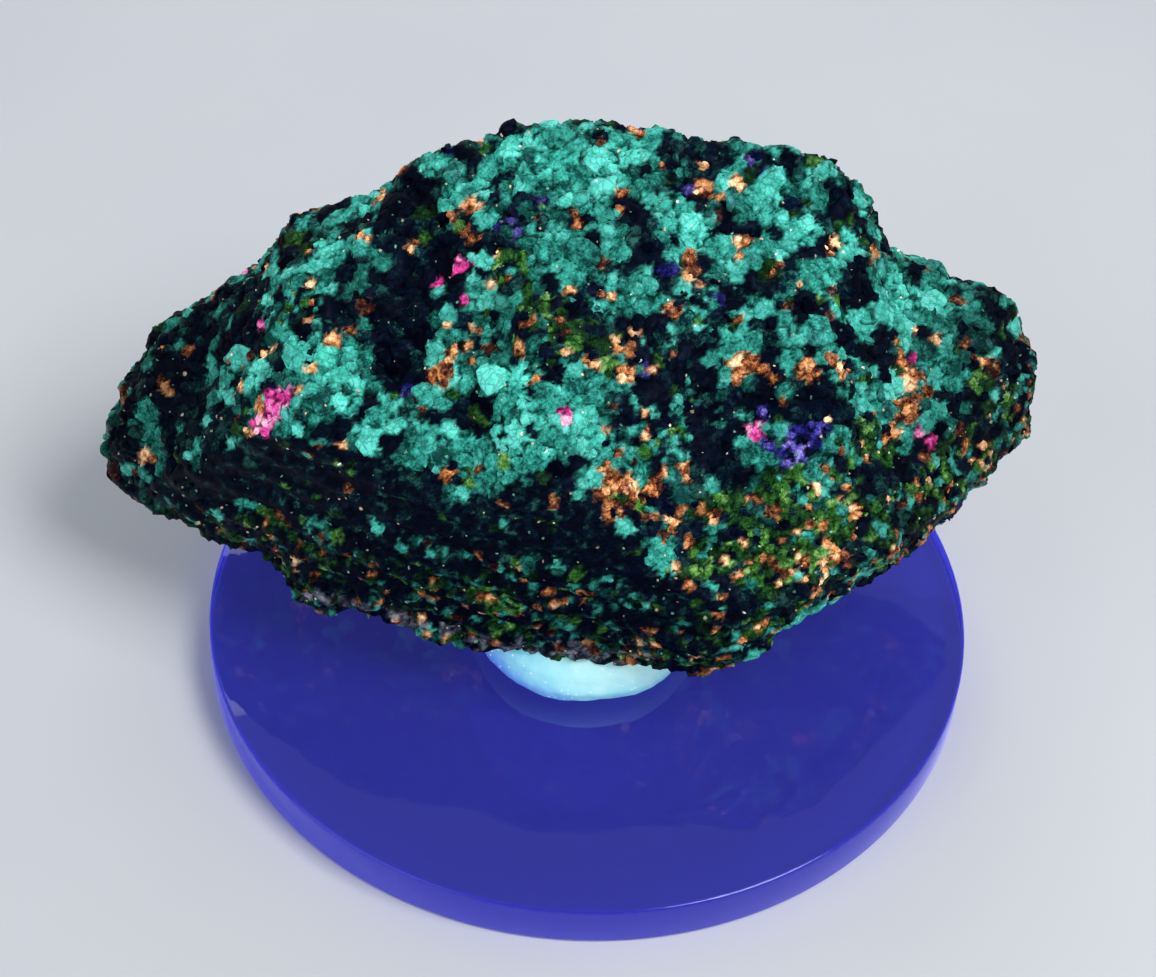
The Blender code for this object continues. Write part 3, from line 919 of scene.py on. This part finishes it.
# Painted shade in the crevices and at the feet of lumps, where rise is low, leaves this share of the
# colour
CREVICE_SHADE_RISE, LEFT_IN_CREVICE_SHADE = (0.1, 0.8), 0.12
# The stone glows with painted light, in each grain's own colour, though it is no lamp
GLOW = 0.60
GLOSS, GLOSS_EDGE, SMOOTHER, ROUGHER = (700.0, 1.0), (0.3, 0.7), 0.12, 0.2
COLD_SHINE = (0.35, 0.52, 1.0, 1)
PITTING, PITTING_DEPTH, PITTING_STRENGTH = (2400.0, 2.0, 0.6), 0.08 * MM, 0.6
ROCK_ROUGHNESS, ROCK_SHINE = 0.55, 0.10


def ore_material(name, minerals, roughness, shine):
    """Glassy ore that glows with painted light. A grain's tone is its own; it darkens along fine cracks,
    and with painted shade in the crevices and at the feet of lumps.
    """
    material, tree, shader = new_material(name)

    def kept(label):
        return add_node(tree, "ShaderNodeAttribute", {"attribute_name": label}).outputs["Fac"]

    def scaled(vector, scale):
        return add_node(
            tree, "ShaderNodeVectorMath", {"operation": "SCALE"}, Vector=vector, Scale=scale
        ).outputs["Vector"]

    def added(first, second):
        return add_node(
            tree, "ShaderNodeVectorMath", {"operation": "ADD"}, _0=first, _1=second
        ).outputs["Vector"]

    middle = maths(tree, "SUBTRACT", kept("dice"), MOTTLE_CONTRAST / 2)
    tone = maths(tree, "MULTIPLY_ADD", object_noise(tree, *MOTTLE), MOTTLE_CONTRAST, middle)
    colour = None
    for mineral in minerals:
        part = colour_ramp(tree, tone, MINERAL_TONES[mineral])
        if len(minerals) > 1:
            part = scaled(part, kept(mineral))
        colour = part if colour is None else added(colour, part)
    place = own_place(tree)
    wander = add_node(tree, "ShaderNodeTexNoise", Vector=place, Scale=BEND_WAVES).outputs["Color"]
    bent = added(place, scaled(wander, BEND))
    cracks = add_node(
        tree, "ShaderNodeTexVoronoi", {"feature": "DISTANCE_TO_EDGE"}, Vector=bent, Scale=CRACKS_PER_METRE
    ).outputs["Distance"]
    cracks = ranged(tree, cracks, 0.0, CRACK_WIDTH, LEFT_IN_CRACKS, 1.0)
    # Painted shade: darker where rise is low, in the crevices and at the feet of lumps
    unshaded_share = ranged(tree, kept("rise"), *CREVICE_SHADE_RISE, LEFT_IN_CREVICE_SHADE, 1.0)
    level = maths(tree, "MULTIPLY", maths(tree, "MULTIPLY", cracks, unshaded_share), kept("glow"))
    shown = scaled(colour, level)
    tree.links.new(shown, shader.inputs["Base Color"])
    # Painted light: the stone glows in its own colour
    tree.links.new(shown, shader.inputs["Emission Color"])
    shader.inputs["Emission Strength"].default_value = GLOW
    # The glow is too faint to light what is round it, so it isn't sampled as a lamp
    material.cycles.emission_sampling = "NONE"
    patchy = ranged(
        tree, object_noise(tree, *GLOSS), *GLOSS_EDGE, roughness - SMOOTHER, roughness + ROUGHER
    )
    tree.links.new(patchy, shader.inputs["Roughness"])
    shader.inputs["Specular IOR Level"].default_value = shine
    shader.inputs["Specular Tint"].default_value = COLD_SHINE
    bumped(tree, shader, object_noise(tree, *PITTING), PITTING_DEPTH, PITTING_STRENGTH)
    return material


stone_mesh.materials[0] = ore_material("ore", MINERALS, ROCK_ROUGHNESS, ROCK_SHINE)
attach(stone, "root")
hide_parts("specimen")


# Grains. Those that stand proud of the broken rock are angular lumps of their own mineral, each
# sunk for most of its height in the bed where it grew, and turned its own way.
SHAPE_COUNT = 9
FIRST_SHAPE = 70
NARROWEST, LUMP_HEIGHT = 0.7, 0.9
LEAN = 0.25
WIDTHS, HEIGHTS = (0.80, 1.20), (0.85, 1.25)
BEDDED = 0.30
BROAD_FLATNESS, FINE_FLATNESS = 0.36, 0.48
# Over this span of its height a lump goes from painted shade at its foot to its full colour
LUMP_RISE = (-0.35, 0.35)
BROAD_FROM = 2.9
# Roughness and shine of each mineral
GRAIN_FINISHES = {
    "chlorophane": (0.38, 0.28),
    "dark_ore": (0.60, 0.05),
    "moss_fluorite": (0.50, 0.15),
    "sphalerite": (0.34, 0.28),
    "violet_fluorite": (0.40, 0.25),
    "rose_fluorite": (0.38, 0.28),
    "pale_crust": (0.65, 0.15),
}


def grain_shape(name, corners, squareness, seed):
    """Angular lump about 1 across, with its height above the bed kept as the attribute rise."""
    dice = np.random.default_rng(seed)
    ways = dice.normal(size=(corners, 3))
    ways /= (np.abs(ways) ** squareness).sum(axis=1)[:, None] ** (1 / squareness)
    ways *= 0.5 * np.array((1.0, dice.uniform(NARROWEST, 1.0), LUMP_HEIGHT))
    form = bmesh.new()
    for way in ways:
        form.verts.new(way)
    hull = bmesh.ops.convex_hull(form, input=form.verts)
    inner = [item for item in set(hull["geom_interior"]) if isinstance(item, bmesh.types.BMVert)]
    bmesh.ops.delete(form, geom=inner, context="VERTS")
    bmesh.ops.recalc_face_normals(form, faces=form.faces)
    mesh = bpy.data.meshes.new(name)
    form.to_mesh(mesh)
    form.free()
    # Rise sets the painted shade at the lump's foot
    set_attribute(mesh, "rise", smooth(*LUMP_RISE, coordinates(mesh)[:, 2]))
    return mesh


def shape_collection(name, corners, squareness):
    """Hidden collection of lumps to set in the stone."""
    group = bpy.data.collections.new(name)
    for index in range(SHAPE_COUNT):
        label = f"{name}_{index}"
        lump = grain_shape(label, corners, squareness, FIRST_SHAPE + index)
        group.objects.link(bpy.data.objects.new(label, lump))
    return group


def setting_tree():
    """A lump of the Shapes on every point, turned and sized by the point's own attributes."""
    tree = bpy.data.node_groups.new("grains_in_bed", "GeometryNodeTree")
    tree.interface.new_socket("Geometry", in_out="INPUT", socket_type="NodeSocketGeometry")
    tree.interface.new_socket("Shapes", in_out="INPUT", socket_type="NodeSocketCollection")
    tree.interface.new_socket("Material", in_out="INPUT", socket_type="NodeSocketMaterial")
    tree.interface.new_socket("Geometry", in_out="OUTPUT", socket_type="NodeSocketGeometry")
    given = tree.nodes.new("NodeGroupInput").outputs

    def named(name, kind):
        return add_node(
            tree, "GeometryNodeInputNamedAttribute", {"data_type": kind}, Name=name
        ).outputs["Attribute"]

    shapes = add_node(
        tree, "GeometryNodeCollectionInfo", Collection=given["Shapes"], Separate_Children=True
    )
    upright = add_node(
        tree, "FunctionNodeAlignRotationToVector", {"axis": "Z"}, Vector=named("facing", "FLOAT_VECTOR")
    )
    spin = add_node(tree, "FunctionNodeAxisAngleToRotation", Axis=(0, 0, 1), Angle=named("turn", "FLOAT"))
    turned_shape = add_node(
        tree, "FunctionNodeRotateRotation", {"rotation_space": "LOCAL"},
        Rotation=upright.outputs["Rotation"], Rotate_By=spin.outputs["Rotation"],
    )
    grains = add_node(
        tree, "GeometryNodeInstanceOnPoints",
        Points=given["Geometry"], Instance=shapes.outputs["Instances"], Pick_Instance=True,
        Instance_Index=named("shape", "INT"), Rotation=turned_shape.outputs["Rotation"],
        Scale=named("size", "FLOAT_VECTOR"),
    )
    real = add_node(tree, "GeometryNodeRealizeInstances", Geometry=grains.outputs["Instances"])
    finish = add_node(
        tree, "GeometryNodeSetMaterial", Geometry=real.outputs["Geometry"], Material=given["Material"]
    )
    result = tree.nodes.new("NodeGroupOutput")
    tree.links.new(finish.outputs["Geometry"], result.inputs["Geometry"])
    return tree


SETTING = setting_tree()


def set_grains(name, table, shapes, material, flatness, bedded):
    """One piece of grains: a lump at each place, with its own tone (dice) and glow."""
    count = len(table["size"])
    size = table["size"][:, None] * MM
    lean = table["normal"] + draws.normal(scale=LEAN, size=(count, 3))
    wide = size * draws.uniform(*WIDTHS, (count, 2))
    tall = size * flatness * draws.uniform(*HEIGHTS, (count, 1))
    places = table["place"] * MM - bedded * flatness * size * table["normal"]
    cloud = bpy.data.meshes.new(name)
    cloud.vertices.add(count)
    cloud.vertices.foreach_set("co", places.astype(np.float32).ravel())
    set_attribute(cloud, "turn", draws.uniform(0, math.tau, count))
    set_attribute(cloud, "dice", table["dice"])
    set_attribute(cloud, "glow", table["glow"])
    for label, values in (("facing", lean), ("size", np.hstack((wide, tall)))):
        kept = cloud.attributes.new(label, "FLOAT_VECTOR", "POINT")
        kept.data.foreach_set("vector", values.astype(np.float32).ravel())
    shape = cloud.attributes.new("shape", "INT", "POINT")
    shape.data.foreach_set("value", draws.integers(0, SHAPE_COUNT, count))
    holder = bpy.data.objects.new(name, cloud)
    bpy.context.scene.collection.objects.link(holder)
    modifier = holder.modifiers.new("grains", "NODES")
    modifier.node_group = SETTING
    set_inputs(modifier, {"Shapes": shapes, "Material": material})
    grains = settled_mesh(holder, name)
    bpy.data.objects.remove(holder)
    move_to(grains, coordinates(grains))
    piece = add_piece(name, grains, material, smooth=False)
    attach(piece, "root")


broad_lumps = shape_collection("broad_lumps", corners=30, squareness=3.4)
fine_lumps = shape_collection("fine_lumps", corners=13, squareness=2.6)
finishes = {
    mineral: ore_material(mineral, (mineral,), roughness, shine)
    for mineral, (roughness, shine) in GRAIN_FINISHES.items()
}
is_broad = seeds["size"] > BROAD_FROM
is_chlorophane = seeds["mineral"] == MINERALS.index("chlorophane")
chosen = part_of(seeds, seeds["proud"] & is_broad & is_chlorophane)
set_grains("chlorophane_broad", chosen, broad_lumps, finishes["chlorophane"], BROAD_FLATNESS, BEDDED)
for index, mineral in enumerate(MINERALS):
    chosen = part_of(seeds, seeds["proud"] & ~is_broad & (seeds["mineral"] == index))
    set_grains(f"{mineral}_grains", chosen, fine_lumps, finishes[mineral], FINE_FLATNESS, BEDDED)


# Specks. Tiny cleavage faces of the same minerals that flash in the light and, in pale colours, glow
# with painted light, half sunk all over the stone and most easily seen on the dark parted face.
SPECK_SPACING, SPECK_SHARE, SPECK_SIZE, SPECK_SPREAD = 1.6, 0.30, 0.42, 0.25
SPECK_ROUGHNESS, SPECK_SHINE, SPECK_FLATNESS = 0.3, 0.5, 0.7
MINERAL_TONES["flashing_speck"] = (
    (0.0, (0.04, 0.17, 0.12)), (0.35, (0.16, 0.40, 0.30)), (0.6, (0.52, 0.30, 0.13)),
    (0.85, (0.62, 0.60, 0.42)), (1.0, (0.80, 0.92, 0.85)),
)
specks = joined(
    seeded(SPECK_SPACING, seed=29, small=False, size=SPECK_SIZE, spread=SPECK_SPREAD, reach=0.0),
    seeded(SPECK_SPACING, seed=31, small=True, size=SPECK_SIZE, spread=SPECK_SPREAD, reach=0.0),
)
specks = part_of(specks, draws.random(len(specks["size"])) < SPECK_SHARE)
speck_material = ore_material("flashing_speck", ("flashing_speck",), SPECK_ROUGHNESS, SPECK_SHINE)
set_grains("flashing_specks", specks, fine_lumps, speck_material, SPECK_FLATNESS, bedded=0.0)

for lumps in (broad_lumps, fine_lumps):
    for lump in list(lumps.objects):
        bpy.data.objects.remove(lump)
    bpy.data.collections.remove(lumps)
